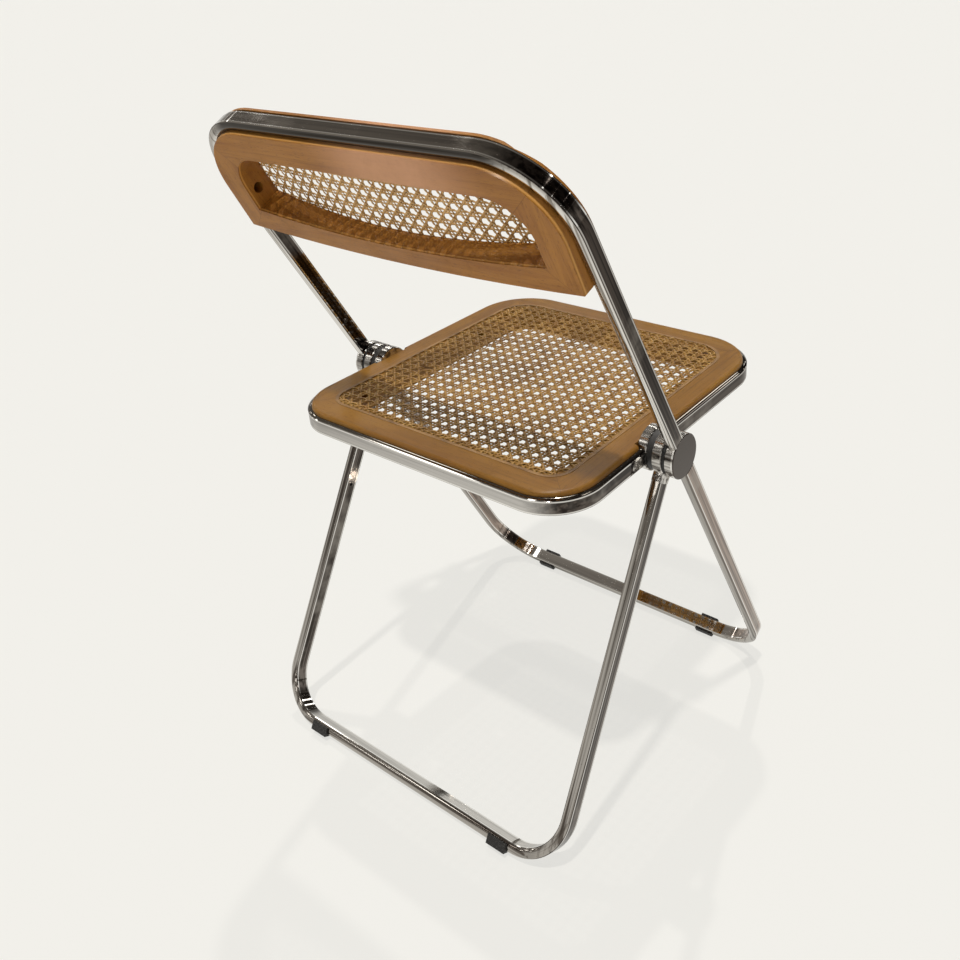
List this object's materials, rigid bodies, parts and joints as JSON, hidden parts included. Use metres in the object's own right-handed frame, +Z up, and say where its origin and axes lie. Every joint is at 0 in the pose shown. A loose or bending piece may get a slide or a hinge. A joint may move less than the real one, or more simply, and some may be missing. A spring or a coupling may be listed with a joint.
{
  "type": "folding chair",
  "caption": "Folding chair of chromed steel tube with a wood-framed cane seat and back panel; back and front legs are one frame, and the seat and rear legs fold into it about one axis.",
  "frame": {"origin": "on the floor, at the middle of the open chair's plan", "axes": "+Z up, -Y toward the front of the chair, +X across it, to the sitter's left"},
  "size_m": [0.47, 0.5104, 0.7708],
  "materials": {
    "tube": "polished chrome on drawn steel tube",
    "hub": "polished die-cast hub",
    "pin": "plain steel pin",
    "screw": "dark steel screw or rivet",
    "beech": "honey-stained beech, satin lacquer",
    "cane": "woven rattan cane",
    "reed": "reed spline",
    "black_glide": "black rubber",
    "washer": "black plastic"
  },
  "bodies": {
    "frame": {"back_hoop": "tube", "front_leg_hoop": "tube", "outer_hub_left": "hub", "outer_hub_right": "hub", "pivot_axle_left": "pin", "pivot_axle_right": "pin", "hoop_screws": "screw", "back_panel_frame": "beech", "back_cane": "cane", "back_cane_spline": "reed", "back_panel_screws": "screw", "front_glide_left": "black_glide", "front_glide_right": "black_glide"},
    "rear_legs": {"rear_leg_hoop": "tube", "middle_hub_left": "hub", "middle_hub_right": "hub", "outer_washer_left": "washer", "outer_washer_right": "washer", "leg_stop_pin_left": "pin", "leg_stop_pin_right": "pin", "leg_screws": "screw", "rear_glide_left": "black_glide", "rear_glide_right": "black_glide"},
    "seat": {"seat_ring_front": "tube", "seat_ring_rear": "tube", "inner_hub_left": "hub", "inner_hub_right": "hub", "inner_washer_left": "washer", "inner_washer_right": "washer", "seat_stop_pin_left": "pin", "seat_stop_pin_right": "pin", "hub_rivets": "screw", "seat_frame": "beech", "seat_cane": "cane", "seat_cane_spline": "reed", "seat_frame_screws": "screw"}
  },
  "joints": [
    {"name": "seat_fold", "type": "hinge", "parent": "frame", "child": "seat", "pos_m": [0, 0.02514, 0.41982], "axis": [1, 0, 0], "range_deg": [0, 61]},
    {"name": "rear_leg_fold", "type": "hinge", "parent": "frame", "child": "rear_legs", "pos_m": [0, 0.02514, 0.41982], "axis": [1, 0, 0], "range_deg": [-59, 0]}
  ],
  "couplings": [
    {"joint": "rear_leg_fold", "follows": "seat_fold", "ratio": -0.9672}
  ]
}
